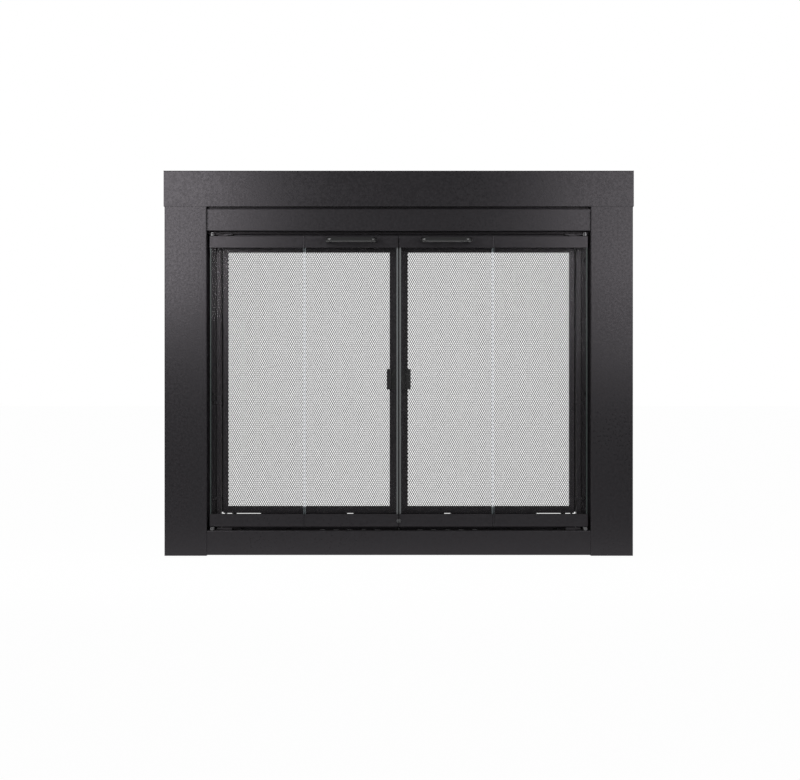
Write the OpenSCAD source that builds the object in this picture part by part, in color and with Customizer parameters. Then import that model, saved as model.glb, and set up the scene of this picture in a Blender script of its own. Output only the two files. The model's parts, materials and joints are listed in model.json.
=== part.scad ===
// Fireplace glass door: a folded steel surround with two pairs of folding glass doors in front
// of two hinged mesh screens, pivot brackets, an air damper and the clamps that hold it.
// Millimetres. The hearth is z = 0. The back of the surround, which seats on the wall, is y = 0,
// and its front faces -Y. A depth in this file is measured back from the header's front face.
// The right-hand pieces are drawn, and the left-hand ones are their mirror images.

/* [Surround] */
// Width over the header
surround_w = 952.5; // [860:0.5:1200]
// Height from the hearth to the top of the header
surround_h = 780.5; // [700:0.5:900]
// Depth from the header's front face to the wall
frame_depth = 40; // [38:1:60]
// Height of the header
header_h = 72.5; // [50:0.5:110]
// Width of each post's front face
post_w = 85.8; // [60:0.1:110]
// Thickness of the surround's sheet steel
sheet = 1.2; // [1:0.1:1.5]
// Inner radius of the folds in the sheet
fold_r = 0.8; // [0.5:0.1:1]
// Gap between the header and the posts that it caps
cap_gap = 0.2; // [0.1:0.1:0.5]
// Height of the bottom rail's face
bottom_rail_h = 49.8; // [44:0.2:70]
// How far the bottom rail stays above the hearth
foot_gap = 1.2; // [0.5:0.1:3]
// How far the bottom rail's face lies behind the header's
bottom_rail_setback = 3; // [2:0.5:5]
// Height of the inner header panel
valance_h = 45.5; // [35:0.5:60]
// How far the inner header panel lies behind the header's face
valance_setback = 7; // [5:0.5:8]
// Height of the shadow groove between the header and the inner header panel
groove_h = 3.8; // [3:0.1:8]

/* [Glass doors] */
// Gap between a post and its glass door
door_side_gap = 5.5; // [4:0.1:7]
// Gap where the two pairs of doors meet
door_centre_gap = 2; // [1:0.1:4]
// Gap between the two panels of a pair
fold_gap = 1.6; // [1.2:0.1:1.8]
// Gap above the glass doors
door_top_gap = 9.2; // [9:0.1:14]
// Gap below the glass doors
door_bottom_gap = 7.2; // [7:0.1:12]
// Depth of the doors' front faces behind the header's face
door_setback = 8; // [7.5:0.1:9]
// Thickness of the doors' top and bottom rails
door_rail_t = 13; // [12:0.5:15]
// Height of the doors' top rails
door_top_rail_h = 24.2; // [22:0.1:34]
// Height of the doors' bottom rails
door_bottom_rail_h = 25.8; // [24:0.1:34]
// Thickness of the glass
glass_t = 5; // [4:0.5:6]
// How far the glass stops short of the outer edge of its rails
glass_inset = 10; // [9:0.5:12]
// Distance from the doors' end to their pivot
pivot_inset = 4.5; // [4:0.1:6]
// Radius of the pivot pins
pivot_pin_r = 3; // [2.5:0.1:3.5]
// Radius of the fold hinges' barrels
knuckle_r = 1.6; // [1.4:0.1:1.8]
// Distance between the legs of a handle
handle_centres = 96; // [64:1:128]
// Diameter of a handle's rod
handle_d = 10; // [8:0.5:12]
// How far a handle stands out of its rail
handle_reach = 30; // [26:1:30]
// How far a handle's rod lies below the top of its rail
handle_drop = 10; // [8:0.5:14]

/* [Mesh screens] */
// Width of a jamb's visible face
jamb_w = 10.5; // [8:0.5:16]
// Gap between a jamb and its screen
screen_side_gap = 4; // [3:0.5:6]
// Gap where the two screens meet
screen_centre_gap = 1.2; // [1:0.1:2]
// How far that gap lies to the right of the middle, behind the ground edge of a pane
screen_lap = 2.2; // [0:0.1:3]
// Depth of a screen's frame
screen_t = 8; // [7:0.5:10]
// How far the screens' front faces lie in front of the wall
screen_forward = 1.5; // [0.5:0.5:2]
// Gap between the top of the screens and the top channel
screen_top_gap = 19; // [12:0.5:30]
// Height of the screens above the bottom rail
screen_bottom_gap = 32.8; // [28:0.1:40]
// Width of a screen's hinged stile
outer_stile_w = 10.2; // [10:0.1:16]
// Distance from the middle to the mesh
inner_stile_w = 18.5; // [14:0.5:24]
// Height of a screen's top rail
screen_top_rail_h = 17.4; // [12:0.1:24]
// Height of a screen's bottom rail
screen_bottom_rail_h = 14.5; // [12:0.5:20]
// Thickness of the mesh
mesh_t = 0.8; // [0.6:0.1:1.2]
// Width of the strands of the mesh
strand_w = 1.2; // [1:0.1:2]
// Columns of diamonds across the mesh
mesh_cols = 10; // [6:1:10]
// Rows of diamonds up the mesh
mesh_rows = 11; // [6:1:11]
// Height of a screen's finger pull
pull_h = 42; // [30:1:60]
// How far the rear sill stands above the bottom rail
sill_h = 39; // [35:0.5:42]
// Depth of the notches in the rear sill
notch_h = 12; // [8:0.5:14]

/* [Air damper] */
// Air holes on each side of the middle
vent_count = 5; // [3:1:6]
// Distance between the air holes
vent_pitch = 28; // [24:1:34]
// Distance from the middle to the first air hole
vent_start = 43.5; // [36:0.5:50]
// Radius of the air holes
vent_r = 5.5; // [4:0.5:5.5]
// Width of the damper's strip
damper_w = 16; // [14:0.5:17]

/* [Fixings] */
// How far the floor brackets reach behind the wall's face
floor_reach = 62; // [50:1:90]
// Radius of the holes in the floor brackets
floor_hole_r = 3.5; // [2.5:0.5:5]
// Distance between the two lintel clamps
lintel_spacing = 400; // [200:10:500]
// How far the lintel clamps reach behind the wall's face
lintel_reach = 58; // [50:1:80]
// Radius of the small screws
screw_r = 2; // [1.6:0.1:2.2]

/* [Hidden] */
$fn = 48;
BLACK = [0.16, 0.155, 0.165];
BLACK_ROD = [0.09, 0.09, 0.095];
GLASS = [0.62, 0.78, 0.76, 0.35];
ZINC = [0.58, 0.58, 0.6];
RUBBER = [0.07, 0.07, 0.07];
BUSH = [0.42, 0.42, 0.43];
SCREEN_GREY = [0.2, 0.2, 0.2];

run_fit = 0.06;
part_gap = 0.3;
fold_line_r = fold_r + sheet / 2;

// Posts and the opening between them
post_x1 = surround_w / 2 - sheet - cap_gap;
post_x0 = post_x1 - post_w;
post_front = sheet + cap_gap;
post_top = surround_h - sheet - cap_gap;
post_wall_flange = 20;
header_z = surround_h - header_h;
header_wall_flange = 15;
rail_end = post_x0 - part_gap / 2;

// Bottom rail
rail_z0 = foot_gap;
rail_z1 = foot_gap + bottom_rail_h;
rail_back = frame_depth - 6;

// Inner header panel and the channel behind it
valance_z1 = header_z - groove_h;
valance_z0 = valance_z1 - valance_h;
valance_return = 13;
flange_up = 24;
channel_drop = 4.7;
channel_z0 = valance_z0 - channel_drop;
channel_front = frame_depth - 16;
channel_back = frame_depth - 2.8;
channel_lip_h = 3.3;
stop_front = channel_back - 4.4;
stop_gap = 0.8;
stop_z0 = channel_z0 - screen_top_gap + stop_gap;

// Jambs behind the glass doors
jamb_reveal = 15;
jamb_step = 3.8;
jamb_fold_r = 1.2;
jamb_stop_w = 5.5;
jamb_x0 = post_x0 - jamb_reveal - jamb_w;
jamb_x1 = jamb_x0 + jamb_w;
jamb_front = frame_depth - 5;
jamb_z0 = foot_gap;
jamb_z1 = channel_z0 - 0.4;
jamb_leg_back = frame_depth + 16;
post_lip_x = jamb_x1 + 0.5;

// Glass doors
panel_w = (post_x0 - door_side_gap - door_centre_gap / 2 - fold_gap) / 2;
inner_x0 = door_centre_gap / 2;
inner_x1 = inner_x0 + panel_w;
fold_x = inner_x1 + fold_gap / 2;
outer_x0 = inner_x1 + fold_gap;
outer_x1 = outer_x0 + panel_w;
door_z0 = rail_z1 + door_bottom_gap;
door_z1 = valance_z0 - door_top_gap;
door_front = door_setback;
door_back = door_front + door_rail_t;
door_mid = door_front + door_rail_t / 2;
glass_z0 = door_z0 + glass_inset;
glass_z1 = door_z1 - glass_inset;
glass_bevel = 0.5;
pivot_x = outer_x1 - pivot_inset;
leaf_t = 1.2;
hinge_pin_r = knuckle_r / 2;

// Pivot brackets and bushes
bracket_t = 2;
bracket_len = 40;
bracket_x0 = pivot_x - bracket_len;
upper_lip = [9, 29];
lower_lip_w = 30;
bush_r = 5;
eye_r = 6.5;
upper_bracket_z = channel_z0 - bracket_t;
sill_foot_y = rail_back - 7;
lower_bracket_back = sill_foot_y - 0.5;

// Mesh screens
left_closing_x = screen_centre_gap / 2 - screen_lap;
right_closing_x = screen_centre_gap / 2 + screen_lap;
screen_x1 = jamb_x0 - screen_side_gap;
screen_z0 = rail_z1 + screen_bottom_gap;
screen_z1 = channel_z0 - screen_top_gap;
screen_front = frame_depth - screen_forward;
screen_back = screen_front + screen_t;
screen_axis_x = screen_x1 - 5.5;
screen_axis_y = screen_front + screen_t / 2;
screen_sheet = 1;
window_x0 = inner_stile_w;
window_x1 = screen_x1 - outer_stile_w;
window_z0 = screen_z0 + screen_bottom_rail_h;
window_z1 = screen_z1 - screen_top_rail_h;
window_return = 3;
mesh_margin = 4;
mesh_y = screen_front + screen_sheet + window_return;
retainer_t = 0.8;
screen_pin_r = 2.5;
screen_pin_in = 8;
hinge_plate_t = 1.5;
hinge_plate_gap = 1;
lower_plate_gap = 3.6;
screen_stop_w = 44;
screen_stop_drop = 5;
pull_z = (window_z0 + window_z1) / 2;
sill_front = screen_back + 1.5;
sill_x = jamb_x0 - part_gap;
sill_z1 = rail_z1 + sill_h;

// Damper
vent_y = rail_back - 12;
knob_y = vent_y - 5;
damper_t = 1.2;
damper_gap = 0.3;
damper_z1 = rail_z1 - sheet - damper_gap;
damper_travel = vent_pitch / 2;
damper_margin = 34.5;
damper_end = vent_start + (vent_count - 1) * vent_pitch + damper_margin;
stem_r = 2;
guide_t = 1;
guide_w = 12;
guide_x = [24, damper_end - 18];
guide_play = 0.4;
knob_r = 2.7;

// Fixings
corner_t = 1.5;
corner_len = 35;
corner_back = rail_back - 8;
corner_w = 18;
floor_t = 2;
floor_w = 34;
floor_upright_h = 38;
lintel_x = lintel_spacing / 2;
lintel_t = 2;
lintel_w = 20;
lintel_upright_h = 40;
lintel_slot = 24;
jaw_t = 2.4;
jaw_h = 42;
bolt_r = 3;
bolt_head_h = 4;
nut_h = 5;
hex_r = 5.8;
lintel_z = channel_z0 + 8;
jaw_foot = 25;
jaw_reach = 15;
lintel_bolt_y = frame_depth + lintel_reach - lintel_slot / 2 - 14;

// ---------------------------------------------------------------- placing

// Depths count from the header's front face; this puts the wall at y = 0
module from_front() { translate([0, -frame_depth, 0]) children(); }

module right() { from_front() children(); }
module left() { mirror([1, 0, 0]) from_front() children(); }
module both_sides() { right() children(); left() children(); }

// Carries a (depth, height) outline along X from x0 to x1
module along_x(x0, x1) {
    translate([x0, 0, 0]) rotate([90, 0, 90]) linear_extrude(x1 - x0) children();
}

// Carries an (x, depth) outline up from z0 to z1
module up_z(z0, z1) { translate([0, 0, z0]) linear_extrude(z1 - z0) children(); }

// Carries an (x, height) outline back from depth y0 to y1
module back_y(y0, y1) { translate([0, y1, 0]) rotate([90, 0, 0]) linear_extrude(y1 - y0) children(); }

module block(low, high) { translate(low) cube(high - low); }
module rod_x(x0, x1, r) { translate([x0, 0, 0]) rotate([0, 90, 0]) cylinder(h = x1 - x0, r = r); }
module rod_y(y0, y1, r) { translate([0, y1, 0]) rotate([90, 0, 0]) cylinder(h = y1 - y0, r = r); }
module rod_z(z0, z1, r) { translate([0, 0, z0]) cylinder(h = z1 - z0, r = r); }

// ---------------------------------------------------------------- folded sheet

function unit(v) = v / norm(v);

// One straight leg of a folded sheet, about its centre line from a to b
module sheet_leg(a, b, t, cut_a, cut_b) {
    run = b - a;
    translate(a) rotate(atan2(run.y, run.x)) translate([cut_a, -t / 2])
        square([norm(run) - cut_a - cut_b, t]);
}

// The quarter ring where two legs of a folded sheet meet at a right angle
module sheet_fold(before, corner, after, t, r) {
    u = unit(before - corner);
    v = unit(after - corner);
    centre = corner + r * (u + v);
    reach = r + t;
    intersection() {
        translate(centre) difference() {
            circle(r + t / 2);
            circle(r - t / 2);
        }
        polygon([centre, centre - reach * u, centre - reach * (u + v), centre - reach * v]);
    }
}

// A sheet of thickness t folded along a centre line whose legs meet at right angles
module folded(path, t = sheet, r = fold_line_r) {
    last = len(path) - 1;
    for (i = [0:last - 1])
        sheet_leg(path[i], path[i + 1], t, i > 0 ? r : 0, i + 1 < last ? r : 0);
    for (i = [1:1:last - 1])
        sheet_fold(path[i - 1], path[i], path[i + 1], t, r);
}

// ---------------------------------------------------------------- screw places

// Where the small screws go, as [x, depth, height], right-hand side
corner_screws = [
    [post_x0, corner_back - 9, rail_z0 + bottom_rail_h / 2],
    [post_x0, valance_setback + 8, (valance_z0 + valance_z1) / 2],
    [post_x0, channel_back - 9, (valance_z0 + valance_z1) / 2]
];
cap_screws = [for (h = [0.28, 0.72]) [post_x1, frame_depth / 2, header_z + h * header_h]];
jamb_screw_x = (post_lip_x + post_x0) / 2;
jamb_screws = [
    for (h = [0.08, 0.5, 0.92])
        [jamb_screw_x, jamb_front + jamb_step - sheet, jamb_z0 + h * (jamb_z1 - jamb_z0)]
];
sill_screws = [for (x = [0.62, 0.88]) [x * sill_x, sill_foot_y + 3.6, rail_z1]];
floor_screws = [for (z = [14, 30]) [jamb_x0, frame_depth + 6, z]];
upper_bracket_screws = [
    for (x = [upper_lip[0] - 5, upper_lip[1] + 4]) [bracket_x0 + x, stop_front - 4, upper_bracket_z]
];
lower_bracket_screws = [for (x = [6, 24]) [bracket_x0 + x, lower_bracket_back - 3.5, rail_z1 + bracket_t]];
screw_head_r = 1.8 * screw_r;
screw_head_h = 1.1 * screw_r;
screw_tail = 4;

// Shank holes; a hole is as wide as the shank that fills it
module corner_holes() {
    for (p = corner_screws)
        translate([0, p.y, p.z]) rod_x(p.x - corner_t - 1, p.x + sheet + 1, screw_r);
}
module cap_holes() {
    for (p = cap_screws) translate([0, p.y, p.z]) rod_x(p.x - sheet - 1, surround_w / 2 + 1, screw_r);
}
module jamb_holes() {
    for (p = jamb_screws) translate([p.x, 0, p.z]) rod_y(p.y - 1, frame_depth + 1, screw_r);
}
module sill_holes() {
    for (p = sill_screws) translate([p.x, p.y, 0]) rod_z(p.z - sheet - 1, p.z + sheet + 1, screw_r);
}
module floor_holes() {
    for (p = floor_screws) translate([0, p.y, p.z]) rod_x(p.x - floor_t - 1, p.x + sheet + 1, screw_r);
}
module upper_bracket_holes() {
    for (p = upper_bracket_screws)
        translate([p.x, p.y, 0]) rod_z(p.z - 1, p.z + bracket_t + sheet + 1, screw_r);
}
module lower_bracket_holes() {
    for (p = lower_bracket_screws)
        translate([p.x, p.y, 0])
            rod_z(p.z - bracket_t - sheet - corner_t - 1, p.z + 1, screw_r);
}

// ---------------------------------------------------------------- surround

module header() color(BLACK) from_front() difference() {
    union() {
        along_x(-surround_w / 2 + sheet, surround_w / 2 - sheet) folded([
            [sheet / 2, header_z],
            [sheet / 2, surround_h - sheet / 2],
            [frame_depth - sheet / 2, surround_h - sheet / 2],
            [frame_depth - sheet / 2, surround_h - header_wall_flange]
        ]);
        for (x = [-surround_w / 2, surround_w / 2 - sheet])
            block([x, 0, header_z], [x + sheet, frame_depth, surround_h]);
        block([-rail_end, sheet / 2, header_z], [rail_end, 14, header_z + sheet]);
    }
    cap_holes();
    mirror([1, 0, 0]) cap_holes();
}

// Front face, two returns to the wall and a flange at the back of each
module post() difference() {
    up_z(0, post_top) folded([
        [post_x1 - post_wall_flange, frame_depth - sheet / 2],
        [post_x1 - sheet / 2, frame_depth - sheet / 2],
        [post_x1 - sheet / 2, post_front + sheet / 2],
        [post_x0 + sheet / 2, post_front + sheet / 2],
        [post_x0 + sheet / 2, frame_depth - sheet / 2],
        [post_lip_x, frame_depth - sheet / 2]
    ]);
    block(
        [post_lip_x - 1, frame_depth - sheet - cap_gap, surround_h - header_wall_flange - cap_gap],
        [post_x1 + 1, frame_depth + 1, post_top + 1]
    );
    corner_holes();
    cap_holes();
    jamb_holes();
}
module left_post() color(BLACK) left() post();
module right_post() color(BLACK) right() post();

module vent_holes(z0, z1) {
    for (side = [-1, 1], i = [0:vent_count - 1])
        translate([side * (vent_start + i * vent_pitch), vent_y, 0]) rod_z(z0, z1, vent_r);
}

// The slot that the damper's knob slides in
module knob_slot() {
    slot_r = stem_r + 0.4;
    up_z(rail_z1 - sheet - 1, rail_z1 + 1) {
        for (x = [0, damper_travel]) translate([x, knob_y]) circle(slot_r);
        translate([0, knob_y - slot_r]) square([damper_travel, 2 * slot_r]);
    }
}

module bottom_rail() color(BLACK) from_front() difference() {
    along_x(-rail_end, rail_end) folded([
        [18, rail_z0 + sheet / 2],
        [bottom_rail_setback + sheet / 2, rail_z0 + sheet / 2],
        [bottom_rail_setback + sheet / 2, rail_z1 - sheet / 2],
        [rail_back - sheet / 2, rail_z1 - sheet / 2],
        [rail_back - sheet / 2, rail_z1 - 15]
    ]);
    vent_holes(rail_z1 - sheet - 1, rail_z1 + 1);
    knob_slot();
    for (side = [0, 1]) mirror([side, 0, 0]) {
        sill_holes();
        lower_bracket_holes();
    }
}

module valance_panel() color(BLACK) from_front() along_x(-rail_end, rail_end) folded([
    [valance_setback + valance_return, valance_z0 + sheet / 2],
    [valance_setback + sheet / 2, valance_z0 + sheet / 2],
    [valance_setback + sheet / 2, valance_z1 - sheet / 2],
    [valance_setback + valance_return - sheet / 2, valance_z1 - sheet / 2],
    [valance_setback + valance_return - sheet / 2, valance_z1 + flange_up]
]);

// Channel above the doors: its lip is the thin strip that shows in the gap over them, and a deep
// narrow fold behind it closes the space above the screens
module top_channel() color(BLACK) from_front() difference() {
    along_x(-rail_end, rail_end) folded([
        [channel_front + sheet / 2, channel_z0 + channel_lip_h],
        [channel_front + sheet / 2, channel_z0 + sheet / 2],
        [stop_front + sheet / 2, channel_z0 + sheet / 2],
        [stop_front + sheet / 2, stop_z0 + sheet / 2],
        [channel_back - sheet / 2, stop_z0 + sheet / 2],
        [channel_back - sheet / 2, valance_z1 + flange_up / 2],
        [valance_setback + valance_return + sheet / 2, valance_z1 + flange_up / 2],
        [valance_setback + valance_return + sheet / 2, valance_z1 + flange_up]
    ]);
    for (side = [0, 1]) mirror([side, 0, 0]) {
        upper_bracket_holes();
        block([sill_x, stop_front - 1, stop_z0 - 1], [rail_end + 1, frame_depth, channel_z0]);
    }
}

// Jamb between the post and the screen. Its leg goes back into the fire opening and ends in a
// narrow stop that closes the gap beside the screen and starts just above the screen's foot
module jamb() difference() {
    up_z(jamb_z0, jamb_z1) folded([
        [post_x0 - 1, jamb_front + jamb_step - sheet / 2],
        [jamb_x1 - sheet / 2, jamb_front + jamb_step - sheet / 2],
        [jamb_x1 - sheet / 2, jamb_front + sheet / 2],
        [jamb_x0 + sheet / 2, jamb_front + sheet / 2],
        [jamb_x0 + sheet / 2, jamb_leg_back - sheet / 2],
        [jamb_x0 - jamb_stop_w, jamb_leg_back - sheet / 2]
    ], sheet, jamb_fold_r);
    block([0, frame_depth, 0], [jamb_x0, jamb_leg_back + 1, screen_z0 + 1]);
    jamb_holes();
    floor_holes();
}
module left_jamb() color(BLACK) left() jamb();
module right_jamb() color(BLACK) right() jamb();

// Flat clips that steady the jambs against the posts
module jamb_clips() color(BLACK) both_sides() for (h = [0.175, 0.475])
    translate([0, 0, h * jamb_z1]) up_z(-3, 3) folded([
        [jamb_x0 - 2, jamb_front - sheet / 2],
        [jamb_x1 + 6, jamb_front - sheet / 2],
        [jamb_x1 + 6, jamb_front + jamb_step - sheet]
    ]);

// Rear sill: a foot on the bottom rail and a notched upright that the screens close against
module screen_sill() color(BLACK) from_front() difference() {
    along_x(-sill_x, sill_x) folded([
        [sill_foot_y, rail_z1 + sheet / 2],
        [sill_front + sheet / 2, rail_z1 + sheet / 2],
        [sill_front + sheet / 2, sill_z1]
    ]);
    for (side = [0, 1]) mirror([side, 0, 0]) {
        sill_holes();
        for (notch = [[0.257, 0.292], [0.78, 0.917], [0.942, 1.01]])
            block(
                [notch[0] * sill_x, sill_front - 1, sill_z1 - notch_h],
                [notch[1] * sill_x, sill_front + sheet + 1, sill_z1 + 1]
            );
    }
}

// ---------------------------------------------------------------- brackets and screws

module corner_brackets() color(BLACK) both_sides() difference() {
    union() {
        back_y(corner_back - corner_w, corner_back) folded([
            [post_x0 - corner_len, rail_z1 - sheet - corner_t / 2],
            [post_x0 - corner_t / 2, rail_z1 - sheet - corner_t / 2],
            [post_x0 - corner_t / 2, rail_z0 + 10]
        ], corner_t, 2);
        up_z(valance_z0 + 5, valance_z1 - 5) {
            folded([
                [post_x0 - corner_len, valance_setback + sheet + corner_t / 2],
                [post_x0 - corner_t / 2, valance_setback + sheet + corner_t / 2],
                [post_x0 - corner_t / 2, valance_setback + valance_return - 1]
            ], corner_t, 2);
            folded([
                [post_x0 - corner_len, channel_back - sheet - corner_t / 2],
                [post_x0 - corner_t / 2, channel_back - sheet - corner_t / 2],
                [post_x0 - corner_t / 2, channel_back - 14]
            ], corner_t, 2);
        }
    }
    corner_holes();
    lower_bracket_holes();
}

module screw_x(seat, x1) {
    rod_x(seat - screw_head_h, seat, screw_head_r);
    rod_x(seat, x1, screw_r);
}
module screw_z_down(seat, z0) {
    rod_z(seat, seat + screw_head_h, screw_head_r);
    rod_z(z0, seat, screw_r);
}

module frame_screws() color(BLACK) both_sides() {
    for (p = corner_screws)
        translate([0, p.y, p.z]) screw_x(p.x - corner_t, p.x + sheet + screw_tail);
    for (p = cap_screws)
        translate([0, p.y, p.z]) screw_x(p.x - sheet, surround_w / 2);
    for (p = floor_screws)
        translate([0, p.y, p.z]) screw_x(p.x - floor_t, p.x + sheet + screw_tail);
    for (p = jamb_screws) translate([p.x, 0, p.z]) {
        rod_y(p.y - screw_head_h, p.y, screw_head_r);
        rod_y(p.y, frame_depth, screw_r);
    }
    for (p = sill_screws)
        translate([p.x, p.y, 0]) screw_z_down(p.z + sheet, p.z - sheet - screw_tail);
    for (p = lower_bracket_screws)
        translate([p.x, p.y, 0]) screw_z_down(p.z, p.z - bracket_t - sheet - screw_tail);
    for (p = upper_bracket_screws) translate([p.x, p.y, 0]) {
        rod_z(p.z - screw_head_h, p.z, screw_head_r);
        rod_z(p.z, p.z + bracket_t + sheet + screw_tail, screw_r);
    }
}

// Round-ended foot that screws to the hearth inside the fire opening
module floor_brackets() color(BLACK) both_sides() difference() {
    end_r = floor_w / 2;
    end_y = frame_depth + floor_reach - end_r;
    union() {
        up_z(0, floor_t) {
            translate([jamb_x0 - floor_w, frame_depth - 2]) square([floor_w, end_y - frame_depth + 2]);
            translate([jamb_x0 - end_r, end_y]) circle(end_r);
        }
        block([jamb_x0 - floor_t, frame_depth - 2, 0], [jamb_x0, jamb_leg_back - 2, floor_upright_h]);
    }
    floor_holes();
    translate([jamb_x0 - end_r, end_y, 0]) rod_z(-1, floor_t + 1, floor_hole_r);
}

// Arm behind the top channel, with a slot that sets its jaw to the lintel's thickness
module lintel_clamps() color(BLACK) both_sides() difference() {
    along_x(lintel_x - lintel_w / 2, lintel_x + lintel_w / 2) folded([
        [channel_back + lintel_t / 2, lintel_z + lintel_upright_h],
        [channel_back + lintel_t / 2, lintel_z + lintel_t / 2],
        [frame_depth + lintel_reach, lintel_z + lintel_t / 2]
    ], lintel_t, 3);
    up_z(lintel_z - 1, lintel_z + lintel_t + 1) {
        for (y = [-lintel_slot / 2, lintel_slot / 2])
            translate([lintel_x, lintel_bolt_y + y]) circle(bolt_r + part_gap);
        translate([lintel_x - bolt_r - part_gap, lintel_bolt_y - lintel_slot / 2])
            square([2 * (bolt_r + part_gap), lintel_slot]);
    }
}

module lintel_jaws() color(BLACK) both_sides() difference() {
    foot_z = lintel_z + lintel_t;
    along_x(lintel_x - lintel_w / 2, lintel_x + lintel_w / 2) folded([
        [lintel_bolt_y + jaw_reach - jaw_foot, foot_z + jaw_t / 2],
        [lintel_bolt_y + jaw_reach, foot_z + jaw_t / 2],
        [lintel_bolt_y + jaw_reach, foot_z + jaw_h]
    ], jaw_t, 3);
    translate([lintel_x, lintel_bolt_y, 0]) rod_z(foot_z - 1, foot_z + jaw_t + 1, bolt_r);
}

// Hexagon bolts from below, with a hexagon nut on each
module lintel_bolts() color(ZINC) both_sides() translate([lintel_x, lintel_bolt_y, 0]) {
    nut_z = lintel_z + lintel_t + jaw_t;
    rod_z(lintel_z, nut_z + nut_h + 7, bolt_r);
    translate([0, 0, lintel_z - bolt_head_h]) cylinder(h = bolt_head_h, r = hex_r, $fn = 6);
    translate([0, 0, nut_z]) cylinder(h = nut_h, r = hex_r, $fn = 6);
}

// Tapered arm that ends in a round eye; depths run from y0 to y1
module pivot_arm(y0, y1) difference() {
    union() {
        polygon([
            [bracket_x0, y1], [pivot_x + eye_r, y1], [pivot_x + eye_r, door_mid],
            [pivot_x - eye_r, door_mid], [bracket_x0 + 18, y0], [bracket_x0, y0]
        ]);
        translate([pivot_x, door_mid]) circle(eye_r);
    }
    translate([pivot_x, door_mid]) circle(bush_r);
}

module upper_pivot_brackets() color(BLACK) both_sides() difference() {
    lip_y = door_back + 1;
    union() {
        up_z(upper_bracket_z, channel_z0) pivot_arm(lip_y, stop_front - part_gap);
        block(
            [bracket_x0 + upper_lip[0], lip_y, upper_bracket_z - 2],
            [bracket_x0 + upper_lip[1], lip_y + 2, upper_bracket_z]
        );
    }
    upper_bracket_holes();
}

module lower_pivot_brackets() color(BLACK) both_sides() difference() {
    lip_y = door_front + 2;
    union() {
        up_z(rail_z1, rail_z1 + bracket_t) pivot_arm(lip_y, lower_bracket_back);
        block(
            [bracket_x0, lip_y, rail_z1 + bracket_t],
            [bracket_x0 + lower_lip_w, lip_y + 1.6, door_z0 - 1.6]
        );
    }
    lower_bracket_holes();
}

set_screw_r = 1.25;
set_screw_z = door_z0 - 3.7;
bush_top_r = 5.6;
set_screw_end = -bush_top_r + 0.8;
bush_flange_h = 1.1;

module pivot_bushes() color(BUSH) both_sides() translate([pivot_x, door_mid, 0]) {
    bore_r = pivot_pin_r + run_fit;
    difference() {
        union() {
            rod_z(upper_bracket_z - bush_flange_h, upper_bracket_z, eye_r - part_gap);
            rod_z(upper_bracket_z, channel_z0 + 1.4, bush_r);
        }
        rod_z(upper_bracket_z - 2, channel_z0 + 3, bore_r);
    }
    difference() {
        union() {
            rod_z(rail_z1, rail_z1 + bracket_t, bush_r);
            rod_z(rail_z1 + bracket_t, door_z0 - part_gap, bush_top_r);
        }
        rod_z(rail_z1 - 1, door_z0, bore_r);
        translate([0, 0, set_screw_z]) rod_y(-bush_top_r - 1, set_screw_end, set_screw_r);
    }
}

// Socket-headed screws at the front of the lower bushes
module pivot_set_screws() color(ZINC) both_sides() translate([pivot_x, door_mid, set_screw_z])
    difference() {
        seat_y = -bush_top_r - 1.4;
        head_y = seat_y - 3;
        union() {
            rod_y(seat_y, set_screw_end, set_screw_r);
            rod_y(head_y, seat_y, 3.4);
        }
        translate([0, head_y, 0]) rotate([90, 0, 0])
            cylinder(h = 3, r = 1.9, center = true, $fn = 6);
    }

// One angle at the top and one at the foot of each jamb, with a hole for a screen's pin
module screen_hinge_brackets() color(BLACK) {
    both_sides()
        for (plate_z = [screen_z1 + hinge_plate_gap, screen_z0 - lower_plate_gap - hinge_plate_t])
            difference() {
                back_y(channel_back + 0.4, sill_front - 0.4) folded([
                    [screen_axis_x - 6, plate_z + hinge_plate_t / 2],
                    [jamb_x0 - hinge_plate_t / 2, plate_z + hinge_plate_t / 2],
                    [jamb_x0 - hinge_plate_t / 2, plate_z - 14]
                ], hinge_plate_t, 1.5);
                translate([screen_axis_x, screen_axis_y, 0])
                    rod_z(plate_z - 1, plate_z + hinge_plate_t + 1, screen_pin_r + run_fit);
            }
    // The stop in the middle that both screens close against
    from_front() along_x(-screen_stop_w / 2, screen_stop_w / 2) folded([
        [channel_back + hinge_plate_t / 2, channel_z0],
        [channel_back + hinge_plate_t / 2, stop_z0 + hinge_plate_t / 2],
        [sill_front + hinge_plate_t / 2, stop_z0 + hinge_plate_t / 2],
        [sill_front + hinge_plate_t / 2, screen_z1 - screen_stop_drop]
    ], hinge_plate_t, 1.5);
}

// ---------------------------------------------------------------- air damper

module damper_guides() color(ZINC) both_sides() for (x = guide_x)
    along_x(x - guide_w / 2, x + guide_w / 2) {
        z_top = rail_z1 - sheet - guide_t / 2;
        z_low = damper_z1 - damper_t - 0.5 - guide_t / 2;
        y_front = vent_y - damper_w / 2 - guide_play - guide_t / 2;
        y_back = vent_y + damper_w / 2 + guide_play + guide_t / 2;
        folded([
            [y_front - 3, z_top], [y_front, z_top], [y_front, z_low],
            [y_back, z_low], [y_back, z_top], [y_back + 1, z_top]
        ], guide_t, 0.8);
    }

module damper_slide() color(ZINC) from_front() difference() {
    block(
        [-damper_end, vent_y - damper_w / 2, damper_z1 - damper_t],
        [damper_end, vent_y + damper_w / 2, damper_z1]
    );
    vent_holes(damper_z1 - damper_t - 1, damper_z1 + 1);
    translate([0, knob_y, 0]) rod_z(damper_z1 - damper_t - 1, damper_z1 + 1, stem_r);
}

module damper_knob() color(BLACK_ROD) from_front() translate([0, knob_y, 0]) {
    rod_z(damper_z1 - damper_t - 0.4, rail_z1 + 1.6, stem_r);
    translate([0, 0, rail_z1 + knob_r + part_gap]) sphere(knob_r);
}

// ---------------------------------------------------------------- glass doors

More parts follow.
